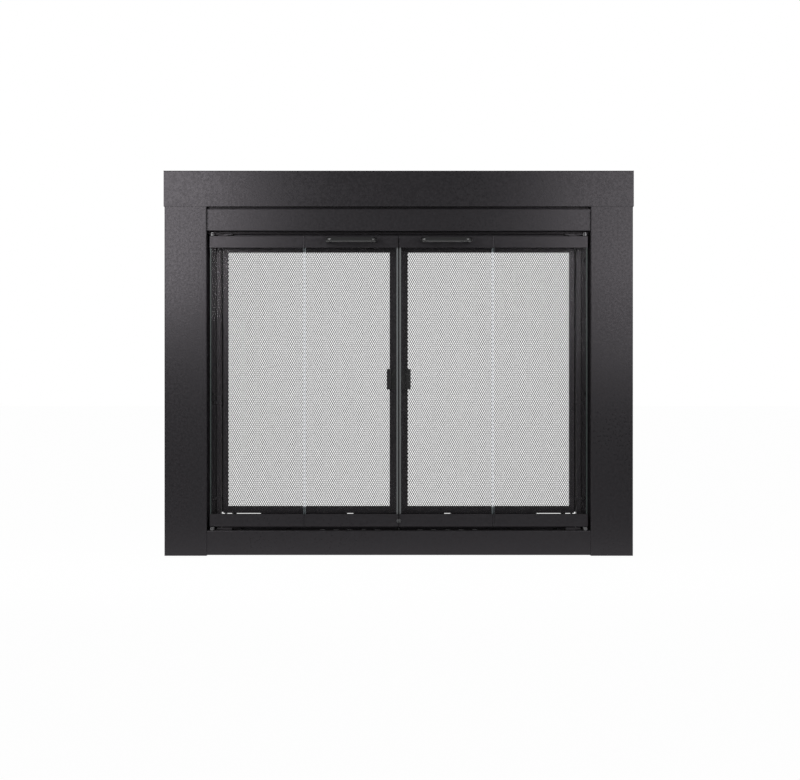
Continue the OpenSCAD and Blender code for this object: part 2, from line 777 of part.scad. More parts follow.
// Inverted channel that grips the glass; x0 to x1 along the door, z_open at its open edge
module door_rail(x0, x1, z_open, z_web) {
    inwards = z_web > z_open ? -1 : 1;
    along_x(x0, x1) folded([
        [door_front + sheet / 2, z_open],
        [door_front + sheet / 2, z_web + inwards * sheet / 2],
        [door_back - sheet / 2, z_web + inwards * sheet / 2],
        [door_back - sheet / 2, z_open]
    ]);
}

// Where the handle's legs stand, along the inner panel
handle_mid = (inner_x0 + inner_x1) / 2;
handle_z = door_z1 - handle_drop;
handle_feet = [handle_mid - handle_centres / 2, handle_mid + handle_centres / 2];
handle_screw_head_h = 2;

module handle_holes() {
    for (x = handle_feet)
        translate([x, 0, handle_z]) rod_y(door_front - 1, door_front + sheet + 1, screw_r);
}
module pivot_holes() {
    translate([pivot_x, door_mid, 0]) {
        rod_z(door_z1 - glass_inset - 1, door_z1 + 1, pivot_pin_r);
        rod_z(door_z0 - 1, door_z0 + glass_inset + 1, pivot_pin_r);
    }
}

module outer_top_rail() difference() {
    door_rail(outer_x0 + leaf_t, outer_x1, door_z1 - door_top_rail_h, door_z1);
    pivot_holes();
}
module outer_bottom_rail() difference() {
    door_rail(outer_x0 + leaf_t, outer_x1, door_z0 + door_bottom_rail_h, door_z0);
    pivot_holes();
}
module inner_top_rail() difference() {
    door_rail(inner_x0, inner_x1 - leaf_t, door_z1 - door_top_rail_h, door_z1);
    handle_holes();
}
module inner_bottom_rail() {
    door_rail(inner_x0, inner_x1 - leaf_t, door_z0 + door_bottom_rail_h, door_z0);
}

// A pane with bevelled upright edges
module pane(x0, x1) up_z(glass_z0, glass_z1) {
    y0 = door_mid - glass_t / 2;
    y1 = door_mid + glass_t / 2;
    b = glass_bevel;
    polygon([
        [x0, y0 + b], [x0 + b, y0], [x1 - b, y0], [x1, y0 + b],
        [x1, y1 - b], [x1 - b, y1], [x0 + b, y1], [x0, y1 - b]
    ]);
}

// Rubber seats inside the two rails of a panel, grooved for the glass
module glass_seats(x0, x1) {
    clear_fold = sheet + fold_r;
    lip = 1.5;
    difference() {
        union() {
            block(
                [x0, door_front + sheet, door_z1 - door_top_rail_h + lip],
                [x1, door_back - sheet, door_z1 - clear_fold]
            );
            block(
                [x0, door_front + sheet, door_z0 + clear_fold],
                [x1, door_back - sheet, door_z0 + door_bottom_rail_h - lip]
            );
        }
        block(
            [x0 - 1, door_mid - glass_t / 2, glass_z0],
            [x1 + 1, door_mid + glass_t / 2, glass_z1]
        );
        pivot_holes();
        for (x = handle_feet) translate([x, 0, handle_z])
            rod_y(door_front, door_front + sheet + handle_screw_head_h, screw_head_r);
    }
}

// Upper and lower pivot pins, each with a collar that spaces the door from its bush
module pivot_pins() translate([pivot_x, door_mid, 0]) {
    rod_z(glass_z1 + 0.5, channel_z0 + 2.2, pivot_pin_r);
    rod_z(door_z1, upper_bracket_z - bush_flange_h - part_gap, pivot_pin_r + 1.6);
    rod_z(rail_z1 + 0.5, glass_z0 - 0.5, pivot_pin_r);
}

// Three knuckles stand on one axis at the doors' front face. The outer leaf has the end ones
function knuckle_z(z0, h, i) = z0 + 1 + i * (h - 2) / 3;
module knuckle(z0, h, i, r, grow = 0) {
    trim = i == 1 ? 0.15 : 0;
    translate([fold_x, door_front, 0])
        rod_z(knuckle_z(z0, h, i) + trim - grow, knuckle_z(z0, h, i + 1) - trim + grow, r);
}

// An end plate on a rail, with its own knuckles and room for those of the other leaf
module hinge_leaf(x0, z0, h, own, other, bore_r) difference() {
    union() {
        difference() {
            block([x0, door_front, z0], [x0 + leaf_t, door_back, z0 + h]);
            block(
                [x0 - 1, door_mid - glass_t / 2, glass_z0],
                [x0 + leaf_t + 1, door_mid + glass_t / 2, glass_z1]
            );
            for (i = other) knuckle(z0, h, i, knuckle_r + part_gap, part_gap);
        }
        for (i = own) knuckle(z0, h, i, knuckle_r);
    }
    translate([fold_x, door_front, 0]) rod_z(z0 - 1, z0 + h + 1, bore_r);
}

module outer_hinge_leaves() for (rail = [
    [door_z0, door_bottom_rail_h], [door_z1 - door_top_rail_h, door_top_rail_h]
]) {
    hinge_leaf(outer_x0, rail[0], rail[1], [0, 2], [1], hinge_pin_r);
    translate([fold_x, door_front, 0]) rod_z(rail[0] + 1, rail[0] + rail[1] - 1, hinge_pin_r);
}
module inner_hinge_leaves() for (rail = [
    [door_z0, door_bottom_rail_h], [door_z1 - door_top_rail_h, door_top_rail_h]
])
    hinge_leaf(inner_x1 - leaf_t, rail[0], rail[1], [1], [0, 2], hinge_pin_r + run_fit);

// A round rod bent to a D: the half with one leg, and its mirror image. The screws' holes are blind
module handle() difference() {
    rod_r = handle_d / 2;
    bend = 9;
    half = handle_centres / 2;
    grip_y = door_front - handle_reach + rod_r;
    for (side = [0, 1]) translate([handle_mid, 0, handle_z]) mirror([side, 0, 0]) {
        translate([-half, 0, 0]) rod_y(grip_y + bend, door_front, rod_r);
        translate([bend - half, grip_y + bend, 0])
            rotate([0, 0, 180]) rotate_extrude(angle = 90) translate([bend, 0]) circle(rod_r);
        translate([0, grip_y, 0]) rod_x(bend - half, 0, rod_r);
    }
    for (x = handle_feet) translate([x, 0, handle_z]) rod_y(door_front - 9, door_front + 1, screw_r);
}
module handle_screws() for (x = handle_feet) translate([x, 0, handle_z]) {
    rod_y(door_front - 9, door_front + sheet, screw_r);
    rod_y(door_front + sheet, door_front + sheet + handle_screw_head_h, screw_head_r);
}

// Half a domed button at the doors' meeting ends
module centre_bumper() translate([0, door_front, door_z0 + 12]) intersection() {
    dome_r = 4.6;
    middle_gap = 0.5;
    sphere(dome_r);
    block([middle_gap, -dome_r - 1, -dome_r - 1], [dome_r + 1, 0, dome_r + 1]);
}

module left_outer_glass() color(GLASS) left() pane(outer_x0, outer_x1);
module left_outer_top_rail() color(BLACK) left() outer_top_rail();
module left_outer_bottom_rail() color(BLACK) left() outer_bottom_rail();
module left_outer_glass_seats() color(RUBBER) left() glass_seats(outer_x0 + leaf_t, outer_x1);
module left_pivot_pins() color(ZINC) left() pivot_pins();
module left_outer_hinge_leaves() color(BLACK) left() outer_hinge_leaves();
module left_inner_glass() color(GLASS) left() pane(inner_x0, inner_x1);
module left_inner_top_rail() color(BLACK) left() inner_top_rail();
module left_inner_bottom_rail() color(BLACK) left() inner_bottom_rail();
module left_inner_glass_seats() color(RUBBER) left() glass_seats(inner_x0, inner_x1 - leaf_t);
module left_inner_hinge_leaves() color(BLACK) left() inner_hinge_leaves();
module left_handle() color(BLACK_ROD) left() handle();
module left_handle_screws() color(ZINC) left() handle_screws();
module left_centre_bumper() color(SCREEN_GREY) left() centre_bumper();

module right_outer_glass() color(GLASS) right() pane(outer_x0, outer_x1);
module right_outer_top_rail() color(BLACK) right() outer_top_rail();
module right_outer_bottom_rail() color(BLACK) right() outer_bottom_rail();
module right_outer_glass_seats() color(RUBBER) right() glass_seats(outer_x0 + leaf_t, outer_x1);
module right_pivot_pins() color(ZINC) right() pivot_pins();
module right_outer_hinge_leaves() color(BLACK) right() outer_hinge_leaves();
module right_inner_glass() color(GLASS) right() pane(inner_x0, inner_x1);
module right_inner_top_rail() color(BLACK) right() inner_top_rail();
module right_inner_bottom_rail() color(BLACK) right() inner_bottom_rail();
module right_inner_glass_seats() color(RUBBER) right() glass_seats(inner_x0, inner_x1 - leaf_t);
module right_inner_hinge_leaves() color(BLACK) right() inner_hinge_leaves();
module right_handle() color(BLACK_ROD) right() handle();
module right_handle_screws() color(ZINC) right() handle_screws();
module right_centre_bumper() color(SCREEN_GREY) right() centre_bumper();

// ---------------------------------------------------------------- mesh screens

// A pressed frame: a flat face, a return all round its edge and a shallow one round its window
module screen_frame(closing_x) difference() {
    s = screen_sheet;
    block([closing_x, screen_front, screen_z0], [screen_x1, screen_back, screen_z1]);
    difference() {
        block(
            [closing_x + s, screen_front + s, screen_z0 + s],
            [screen_x1 - s, screen_back + 1, screen_z1 - s]
        );
        block(
            [window_x0 - s, screen_front, window_z0 - s],
            [window_x1 + s, screen_front + s + window_return, window_z1 + s]
        );
    }
    block([window_x0, screen_front - 1, window_z0], [window_x1, screen_back + 1, window_z1]);
    translate([screen_axis_x, screen_axis_y, 0]) {
        rod_z(screen_z0 - 1, screen_z0 + s + 1, screen_pin_r);
        rod_z(screen_z1 - s - 1, screen_z1 + 1, screen_pin_r);
    }
}

// Flat band behind the edges of the mesh, which clamps them to the window's return
module mesh_retainer() back_y(mesh_y + mesh_t, mesh_y + mesh_t + retainer_t) difference() {
    translate([window_x0 - mesh_margin, window_z0 - mesh_margin])
        square([window_x1 - window_x0 + 2 * mesh_margin, window_z1 - window_z0 + 2 * mesh_margin]);
    translate([window_x0, window_z0]) square([window_x1 - window_x0, window_z1 - window_z0]);
}

// Staggered diamonds in a thin sheet that lies behind the window's return
module screen_mesh() {
    cell_w = (window_x1 - window_x0) / mesh_cols;
    cell_h = (window_z1 - window_z0) / mesh_rows;
    half_w = cell_w / 2 - strand_w / 2;
    half_h = cell_h / 2 - strand_w / 2;
    back_y(mesh_y, mesh_y + mesh_t) difference() {
        translate([window_x0 - mesh_margin, window_z0 - mesh_margin])
            square([window_x1 - window_x0 + 2 * mesh_margin, window_z1 - window_z0 + 2 * mesh_margin]);
        for (i = [0:mesh_cols - 1], j = [0:mesh_rows - 1])
            translate([window_x0 + (i + 0.5) * cell_w, window_z0 + (j + 0.5) * cell_h])
                polygon([[-half_w, 0], [0, -half_h], [half_w, 0], [0, half_h]]);
        for (i = [1:mesh_cols - 1], j = [1:mesh_rows - 1])
            translate([window_x0 + i * cell_w, window_z0 + j * cell_h])
                polygon([[-half_w, 0], [0, -half_h], [half_w, 0], [0, half_h]]);
    }
}

// Finger pull: a flange on the closing stile, a wall forward and a lipped tab over the mesh
module screen_pull() up_z(pull_z - pull_h / 2, pull_z + pull_h / 2) {
    flange = 9;
    reach = 9.4;
    tab = 9.4;
    lip = 3.6;
    base_y = screen_front - sheet / 2;
    tab_y = screen_front - reach;
    wall_x = window_x0 - 4;
    folded([
        [wall_x - flange, base_y], [wall_x, base_y], [wall_x, tab_y],
        [wall_x + tab, tab_y], [wall_x + tab, tab_y + lip]
    ]);
}

// Hinge pins at the top and the foot of the hinged stile; the lower one has a collar
module screen_pins() translate([screen_axis_x, screen_axis_y, 0]) {
    rod_z(screen_z1 - screen_pin_in, screen_z1 + hinge_plate_gap + hinge_plate_t + 1.5, screen_pin_r);
    lower_plate_z1 = screen_z0 - lower_plate_gap;
    rod_z(lower_plate_z1 - hinge_plate_t - 1.5, screen_z0 + screen_pin_in, screen_pin_r);
    rod_z(lower_plate_z1 + part_gap, lower_plate_z1 + part_gap + 1, screen_pin_r + 1.3);
}

module left_screen_frame() color(BLACK) left() {
    screen_frame(left_closing_x);
    mesh_retainer();
}
module left_screen_mesh() color(SCREEN_GREY) left() screen_mesh();
module left_screen_pull() color(BLACK_ROD) left() screen_pull();
module left_screen_pins() color(ZINC) left() screen_pins();
module right_screen_frame() color(BLACK) right() {
    screen_frame(right_closing_x);
    mesh_retainer();
}
module right_screen_mesh() color(SCREEN_GREY) right() screen_mesh();
module right_screen_pull() color(BLACK_ROD) right() screen_pull();
module right_screen_pins() color(ZINC) right() screen_pins();

header();
left_post();
right_post();
bottom_rail();
valance_panel();
top_channel();
screen_sill();
left_jamb();
right_jamb();
jamb_clips();
corner_brackets();
frame_screws();
floor_brackets();
lintel_clamps();
lintel_jaws();
lintel_bolts();
upper_pivot_brackets();
lower_pivot_brackets();
pivot_bushes();
pivot_set_screws();
screen_hinge_brackets();
damper_guides();
damper_slide();
damper_knob();
left_outer_glass();
left_outer_top_rail();
left_outer_bottom_rail();
left_outer_glass_seats();
left_pivot_pins();
left_outer_hinge_leaves();
left_inner_glass();
left_inner_top_rail();
left_inner_bottom_rail();
left_inner_glass_seats();
left_inner_hinge_leaves();
left_handle();
left_handle_screws();
left_centre_bumper();
right_outer_glass();
right_outer_top_rail();
right_outer_bottom_rail();
right_outer_glass_seats();
right_pivot_pins();
right_outer_hinge_leaves();
right_inner_glass();
right_inner_top_rail();
right_inner_bottom_rail();
right_inner_glass_seats();
right_inner_hinge_leaves();
right_handle();
right_handle_screws();
right_centre_bumper();
left_screen_frame();
left_screen_mesh();
left_screen_pull();
left_screen_pins();
right_screen_frame();
right_screen_mesh();
right_screen_pull();
right_screen_pins();
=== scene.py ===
# %% [markdown]
# # A fireplace door set: black powder coat, clear glass and woven wire
#
# The object is a folded steel surround with two pairs of folding glass doors in front of two mesh
# screens. Its sheet, rods and small hardware come from the packed model. This script gives them
# their finishes, weaves the wire that a solid model leaves coarse, and sets the studio: a white
# room and two soft lamps.
#
# Lengths are in metres. Every material reads Object coordinates, which are the row frame here, so a
# finish stays fixed to its piece in any pose.

# %% Load the packed model
import json
import math

import bpy
import numpy as np
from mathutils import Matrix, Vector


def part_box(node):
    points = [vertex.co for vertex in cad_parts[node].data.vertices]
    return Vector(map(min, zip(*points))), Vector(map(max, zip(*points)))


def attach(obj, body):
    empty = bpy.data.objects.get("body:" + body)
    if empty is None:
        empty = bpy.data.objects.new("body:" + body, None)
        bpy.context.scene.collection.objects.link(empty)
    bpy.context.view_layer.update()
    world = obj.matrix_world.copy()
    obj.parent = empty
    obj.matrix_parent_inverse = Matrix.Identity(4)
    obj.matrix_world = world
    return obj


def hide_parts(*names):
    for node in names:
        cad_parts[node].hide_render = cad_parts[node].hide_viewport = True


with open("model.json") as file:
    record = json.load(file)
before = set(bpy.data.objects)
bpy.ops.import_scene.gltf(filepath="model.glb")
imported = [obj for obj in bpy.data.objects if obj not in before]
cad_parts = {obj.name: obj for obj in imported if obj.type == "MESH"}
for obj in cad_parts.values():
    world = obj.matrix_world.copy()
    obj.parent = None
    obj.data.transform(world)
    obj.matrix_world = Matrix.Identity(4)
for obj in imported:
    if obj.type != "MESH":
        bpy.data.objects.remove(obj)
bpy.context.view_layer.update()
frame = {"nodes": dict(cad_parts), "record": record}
MM = 0.001

# %% [markdown]
# ## Shader maths that reads like maths
#
# A finish is a formula over the surface: the height of a grain, a mask along an edge, a colour
# between two others. It could be wired up by hand in the node editor, but dozens of boxes hide what
# they compute. So `Value` wraps one socket and takes part in + - * /, also with a plain number on
# the left, and `Nodes.add` makes any node from its type, its settings and its inputs.

# %% A socket that takes part in arithmetic
class Value:
    """One output socket. An expression on Values adds the Math nodes that work it out."""

    def __init__(self, nodes, socket):
        self.nodes, self.socket = nodes, socket

    def output(self, name):
        """Another output of the same node."""
        return Value(self.nodes, self.socket.node.outputs[name])

    def _math(self, operation, *terms):
        return self.nodes.add("ShaderNodeMath", {"operation": operation}, *terms)

    def __add__(self, other):
        return self._math("ADD", self, other)

    __radd__ = __add__

    def __mul__(self, other):
        return self._math("MULTIPLY", self, other)

    __rmul__ = __mul__

    def __sub__(self, other):
        return self._math("SUBTRACT", self, other)

    def __rsub__(self, other):
        return self._math("SUBTRACT", other, self)

    def __truediv__(self, other):
        return self._math("DIVIDE", self, other)

    def __rtruediv__(self, other):
        return self._math("DIVIDE", other, self)

    def __abs__(self):
        return self._math("ABSOLUTE", self)

    def root(self):
        return self._math("SQRT", self)

    def fract(self):
        return self._math("FRACT", self)

    def max(self, other):
        return self._math("MAXIMUM", self, other)

    def above(self, edge):
        """1 where this value is greater than edge, else 0."""
        return self._math("GREATER_THAN", self, edge)

    def ramp(self, low, high):
        """0 below low, 1 above high and straight between: clamp((v - low) / (high - low))."""
        return self.nodes.add("ShaderNodeMapRange", Value=self, From_Min=low, From_Max=high)


print("a Value has", [name for name in vars(Value) if not name.startswith("_")])

# %% [markdown]
# The room has a node tree of its own, and so has each finish. Every kind of node could get its own
# line of code, but all of them are made in the same three steps: settings, links and numbers. So
# `Nodes` wraps any tree and makes all its nodes in one method.

# %% A node tree
class Nodes:
    """A node tree that `add` fills, one node at a time."""

    def __init__(self, tree):
        self.tree = tree

    def put(self, slot, value):
        """Links a Value to an input, or sets a plain number, colour or vector there."""
        if isinstance(value, Value):
            self.tree.links.new(value.socket, slot)
        else:
            slot.default_value = value

    def add(self, kind, settings=None, *terms, out=0, **inputs):
        """Makes a node of this kind and returns one of its outputs.

        The settings come first. Then the terms fill its inputs in order, and the inputs fill those
        that they name: an underscore stands for a space, and i6 is input 6 where names repeat.
        """
        node = self.tree.nodes.new(kind)
        for key, value in (settings or {}).items():
            setattr(node, key, value)
        for slot, value in zip(node.inputs, terms):
            self.put(slot, value)
        for name, value in inputs.items():
            numbered = name[0] == "i" and name[1:].isdigit()
            self.put(node.inputs[int(name[1:]) if numbered else name.replace("_", " ")], value)
        return Value(self, node.outputs[out])


print("a Nodes has", [name for name in vars(Nodes) if not name.startswith("_")])

# %% [markdown]
# A finish is such a tree with one Principled shader, which suits paint, metal, rubber and glass
# alike. It carries the piece's x, y and z as Values, because an edge, a rim or a hole is easiest to
# say in the object's own millimetres.

# %% A material with one shader
class Finish(Nodes):
    """A material with one Principled shader, whose sockets take constants or formulas."""

    def __init__(self, name, **constants):
        self.material = bpy.data.materials.new(name)
        self.material.use_nodes = True
        super().__init__(self.material.node_tree)
        self.shader = self.tree.nodes["Principled BSDF"]
        for socket, value in constants.items():
            self.varies(socket.replace("_", " "), value)
        self.place = self.add("ShaderNodeTexCoord").output("Object")
        axes = self.add("ShaderNodeSeparateXYZ", None, self.place)
        self.x, self.y, self.z = (axes.output(axis) for axis in "XYZ")

    def varies(self, socket, value):
        """Gives a socket of the shader a formula or a constant."""
        self.put(self.shader.inputs[socket], value)

    def noise(self, size, detail=2.0, stretch=(1, 1, 1)):
        """Smooth noise, 0 to 1, whose blobs are about `size` metres across."""
        where = self.add("ShaderNodeVectorMath", {"operation": "MULTIPLY"}, self.place, stretch)
        return self.add("ShaderNodeTexNoise", Vector=where, Scale=0.5 / size, Detail=detail)

    def blend(self, share, low, high):
        """A colour between low and high: low * (1 - share) + high * share."""
        settings = {"data_type": "RGBA", "clamp_factor": True}
        ends = [c if isinstance(c, Value) else (*c, 1) for c in (low, high)]
        return self.add("ShaderNodeMix", settings, share, out=2, i6=ends[0], i7=ends[1])

    def relief(self, height, depth):
        """Bump from a height of 0 to 1 that stands for `depth` metres."""
        self.varies("Normal", self.add("ShaderNodeBump", Height=height, Distance=depth))

    def tell(self):
        print("finish", self.material.name, "of", len(self.tree.nodes), "shader nodes")


print("a Finish has", [name for name in vars(Finish) if not name.startswith("_")])

# %% [markdown]
# ## Powder coat
#
# The surround and the rails are black powder coat with a fine texture: dry powder melts into bumps
# about 0.6 mm apart, over an orange peel of 2.4 mm waves. An image of painted steel could be laid
# on, but it would repeat and need unwrapping. Noise on Object coordinates does neither, so it makes
# the coat in four sizes: dust and pebbles break every reflection into a soft sheen, the peel
# mottles that sheen near the lamps, and a slow drift changes the gloss by a few per cent, as
# sprayed coats do. The tint leans a little to violet.

# %% The coat of the sheet
COAT = (0.0215, 0.0205, 0.0225)
COAT_ROUGHNESS = 0.36
LIGHTER = 1.35
VIOLET_SHEEN = (1.0, 0.93, 1.0, 1.0)
PEBBLE_DEPTH, DUST_DEPTH, PEEL_DEPTH = 0.04, 0.01, 0.12
# colour and roughness of the painted highlight on the air holes' rims
HIGHLIGHT_GREY, HIGHLIGHT_ROUGHNESS = (0.85, 0.85, 0.86), 0.5


def powder_coat(name, highlight_mask=None):
    """Black powder coat. Where the mask given second is 1, a painted highlight of pale steel grey
    covers the coat.
    """
    finish = Finish(name, Specular_IOR_Level=0.5, Specular_Tint=VIOLET_SHEEN)
    dust = finish.noise(0.2 * MM, detail=1.0)
    pebbles = finish.noise(0.6 * MM, detail=2.5)
    peel = finish.noise(2.4 * MM, detail=1.5)
    drift = finish.noise(90 * MM, detail=1.0)
    lighter = tuple(LIGHTER * c for c in COAT)
    paint = finish.blend((pebbles * 0.6 + peel * 0.4).ramp(0.35, 0.65), COAT, lighter)
    grain = peel.ramp(0.35, 0.65) - 0.5
    gloss = COAT_ROUGHNESS + (drift - 0.5) * 0.12 + (dust - 0.5) * 0.1 + grain * 0.13
    if highlight_mask is not None:
        # painted highlight: pale steel grey over the coat where the mask is 1
        highlit = highlight_mask(finish)
        paint = finish.blend(highlit, paint, HIGHLIGHT_GREY)
        gloss = gloss * (1 - highlit) + highlit * HIGHLIGHT_ROUGHNESS
    finish.varies("Base Color", paint)
    finish.varies("Roughness", gloss)
    finish.relief(pebbles * PEBBLE_DEPTH + dust * DUST_DEPTH + peel * PEEL_DEPTH, MM)
    finish.tell()
    return finish


black_steel = powder_coat("black_steel")

# %% [markdown]
# The bottom rail's air holes show as a row of small pale dashes under the doors. The dashes are a
# painted highlight: the wall and the rim of each hole are painted a pale steel grey. They could be
# ten thin rings, but a mask over the rail is lighter and can't come loose from it. With u = (|x| -
# start)
# / pitch, the nearest hole's centre is (fract(u + 1/2) - 1/2) * pitch away along the rail, and the
# rim is what lies within the hole's radius and 0.3 mm of that centre.

# %% Painted highlight on the rims of the air holes
VENT_START, VENT_PITCH, VENT_COUNT, VENT_R = 43.5 * MM, 28 * MM, 5, 5.5 * MM
VENT_Y, RAIL_TOP = -18 * MM, 51 * MM
RIM = (VENT_R + 0.1 * MM, VENT_R + 0.3 * MM)


def vent_rim_highlight(finish):
    """1 on the wall and the rim of each hole in the rail's top face, where the pale highlight is
    painted, else 0.
    """
    u = (abs(finish.x) - VENT_START) / VENT_PITCH
    dx = ((u + 0.5).fract() - 0.5) * VENT_PITCH
    dy = finish.y - VENT_Y
    off = (dx * dx + dy * dy).root()
    inside = u.above(-0.5) * (1 - u.above(VENT_COUNT - 0.5)) * finish.z.above(RAIL_TOP - 2 * MM)
    return inside * (1 - off.ramp(*RIM))


# the rail's coat, with a painted highlight of pale grey on its hole rims
rim_highlight_steel = powder_coat("rim_highlight_steel", vent_rim_highlight)
holes = [round((VENT_START + k * VENT_PITCH) / MM, 1) for k in range(VENT_COUNT)]
print("holes on each side, mm from the middle", holes)

# %% [markdown]
# ## Rods and wire
#
# The handles and finger pulls carry a smoother, glossier black than the sheet, so a bright line of
# floor runs along the underside of each rod: a thin clear coat over black, with an orange peel of
# 2 mm waves. The mesh is black wire whose coat is thin, a little grey in small random patches. Both
# could take the sheet's coat, but its sheen would swallow that line and the wire's roundness.

# %% The rods' and the wire's finish
black_rod = Finish("black_rod", Specular_IOR_Level=0.8, Coat_Weight=0.8, Coat_Roughness=0.06)
peel = black_rod.noise(2.0 * MM, detail=1.0)
black_rod.varies("Base Color", black_rod.blend(peel, (0.009, 0.009, 0.0095), (0.015, 0.015, 0.016)))
black_rod.varies("Roughness", 0.24 + 0.1 * black_rod.noise(20 * MM))
black_rod.relief(peel, 0.03 * MM)
black_rod.tell()

mesh_wire = Finish("mesh_wire", Specular_IOR_Level=0.5)
smut = mesh_wire.noise(1.5 * MM)
mesh_wire.varies("Base Color", mesh_wire.blend(smut, (0.02, 0.02, 0.021), (0.045, 0.045, 0.047)))
mesh_wire.varies("Roughness", 0.36 + 0.14 * smut)
mesh_wire.relief(smut, 0.02 * MM)
mesh_wire.tell()

# %% [markdown]
# ## Small hardware
#
# Bolts, screws and the damper are zinc plated: bright grey with fine lines along the bar, as
# rolling leaves them. The bushes are sintered steel, whose pores show as small dark specks. The
# screws that hold the surround together are black oxide, a thin crust over the steel. One grey
# could serve them all, but beside each other they differ in gloss more than in colour, so each has
# its own short formula of one or two noises.

# %% Zinc, sintered steel and black oxide
zinc_steel = Finish("zinc_steel", Metallic=1.0)
lines = zinc_steel.noise(0.35 * MM, stretch=(0.08, 1, 1))
spangle = zinc_steel.noise(3.0 * MM)
zinc_steel.varies("Base Color", zinc_steel.blend(spangle, (0.44, 0.445, 0.45), (0.62, 0.625, 0.64)))
zinc_steel.varies("Roughness", 0.26 + 0.12 * lines + 0.08 * spangle)
zinc_steel.relief(lines, 0.012 * MM)
zinc_steel.tell()

steel_bush = Finish("steel_bush", Metallic=1.0)
pores = steel_bush.noise(0.25 * MM, detail=1.0).ramp(0.3, 0.45)
steel_bush.varies("Base Color", steel_bush.blend(pores, (0.06, 0.06, 0.06), (0.26, 0.26, 0.265)))
steel_bush.varies("Roughness", 0.6 - 0.2 * pores)
steel_bush.relief(pores, 0.02 * MM)
steel_bush.tell()

black_screw = Finish("black_screw", Metallic=0.6)
oxide = black_screw.noise(0.8 * MM)
black_screw.varies("Base Color", black_screw.blend(oxide, (0.012, 0.012, 0.013), (0.03, 0.03, 0.032)))
black_screw.varies("Roughness", 0.34 + 0.16 * oxide)
black_screw.relief(oxide, 0.01 * MM)
black_screw.tell()

# %% [markdown]
# The glass sits in matt black rubber, dusty with bloom, and the bumpers where the doors meet are
# dark grey moulded plastic. Both scatter light evenly, so a rough shader with a fine relief is
# enough, where a scattering volume would only cost time at this size.

# %% Rubber and plastic
seat_rubber = Finish("seat_rubber", Roughness=0.85, Specular_IOR_Level=0.3)
bloom = seat_rubber.noise(4 * MM, detail=3.0)
seat_rubber.varies("Base Color", seat_rubber.blend(bloom, (0.011, 0.011, 0.011), (0.02, 0.02, 0.02)))
seat_rubber.relief(seat_rubber.noise(0.5 * MM), 0.03 * MM)
seat_rubber.tell()

grey_bumper = Finish("grey_bumper", Roughness=0.5, Specular_IOR_Level=0.45)
moulded = grey_bumper.noise(0.4 * MM, detail=1.0)
grey_bumper.varies("Base Color", grey_bumper.blend(moulded, (0.1, 0.1, 0.103), (0.14, 0.14, 0.144)))
grey_bumper.relief(moulded, 0.02 * MM)
grey_bumper.tell()

# %% [markdown]
# ## Clear glass with ground edges
#
# Each pane is 5 mm of clear tempered glass, all but invisible through its face. It could refract
# the light as real glass does, but that needs many bounces and dims what lies behind it. So the
# face is a smooth shader of very low alpha, and only the long edges, where the light has crossed a
# long way of glass, are nearly opaque:
#
# - The free edges are ground and read as pale lines, green beside the jambs and grey in the
#   middle. `free` is 1 within `wide` of such an edge, but for a rim of 0.3 mm that stays dark.
# - The edges that meet at a fold bend the light of the white ground into a pale bead, and `fold` is
#   1 within it. A face of low alpha bends no light, so a faint emission stands for it, only in
#   front of the open mesh, where the white ground is behind.

# %% The panes' finish
WINDOW_Z = (98.3 * MM, 616.5 * MM)
CLEAR = (0.055, 0.05, 0.05)
GROUND_GREEN, GROUND_GREY = (0.085, 0.115, 0.11), (0.215, 0.228, 0.232)
BEAD, BEAD_GLOW = (0.27, 0.315, 0.33), (0.435, 0.43, 0.45)
DARK_RIM = (0.3 * MM, 0.7 * MM)
FREE_BLUR, FOLD_BLUR = 0.5 * MM, 0.3 * MM
INNER_EDGES = {"ground": GROUND_GREY, "wide": 3.7 * MM, "bead": 2.4 * MM}
OUTER_EDGES = {"ground": GROUND_GREEN, "wide": 2.2 * MM, "bead": 1.2 * MM}


def pane_finish(name, free_x, fold_x, ground, wide, bead):
    """Clear glass from x = free_x, a ground edge `wide` across, to x = fold_x, a pale bead."""
    finish = Finish(name, Specular_IOR_Level=0.5, IOR=1.5, Emission_Strength=1.0)
    inwards = abs(finish.x - free_x)
    free = 1 - inwards.ramp(wide - FREE_BLUR, wide + FREE_BLUR)
    fold = 1 - abs(finish.x - fold_x).ramp(bead - FOLD_BLUR, bead + FOLD_BLUR)
    gathers = fold * finish.z.above(WINDOW_Z[0]) * (1 - finish.z.above(WINDOW_Z[1]))
    smear = finish.noise(50 * MM, detail=3.0, stretch=(1, 1, 0.4))
    edge = finish.blend(fold, ground, BEAD)
    pale = (free * inwards.ramp(*DARK_RIM)).max(fold)
    finish.varies("Base Color", finish.blend(pale, CLEAR, edge))
    finish.varies("Roughness", 0.03 + 0.02 * smear + 0.35 * free.max(fold))
    finish.varies("Alpha", 0.03 + 0.01 * smear + free * 0.93 + fold * 0.45)
    finish.varies("Emission Color", finish.blend(gathers, (0, 0, 0), BEAD_GLOW))
    finish.tell()
    return finish


print("open mesh from", WINDOW_Z[0], "to", WINDOW_Z[1], "above the hearth")

# %% [markdown]
# ## Dressing the nodes
#
# Each node takes the finish that the record names for it. The material could be appended to the
# node, but its faces already point at a slot, so the slot's material is exchanged. Two kinds of
# piece differ from the record's word: the punched rail, whose coat has a painted highlight on the
# rims of its air holes, and the pivots' small steel, which would be too bright in zinc and takes the
# dull grey of the bushes.

# %% A finish for every node
FINISHES = {
    "black_steel": black_steel,
    "black_rod": black_rod,
    "mesh_wire": mesh_wire,
    "zinc_steel": zinc_steel,
    "steel_bush": steel_bush,
    "black_screw": black_screw,
    "seat_rubber": seat_rubber,
    "grey_bumper": grey_bumper,
}
OWN_FINISH = {
    "bottom_rail": rim_highlight_steel,
    "pivot_set_screws": steel_bush,
    "left_pivot_pins": steel_bush,
    "right_pivot_pins": steel_bush,
}


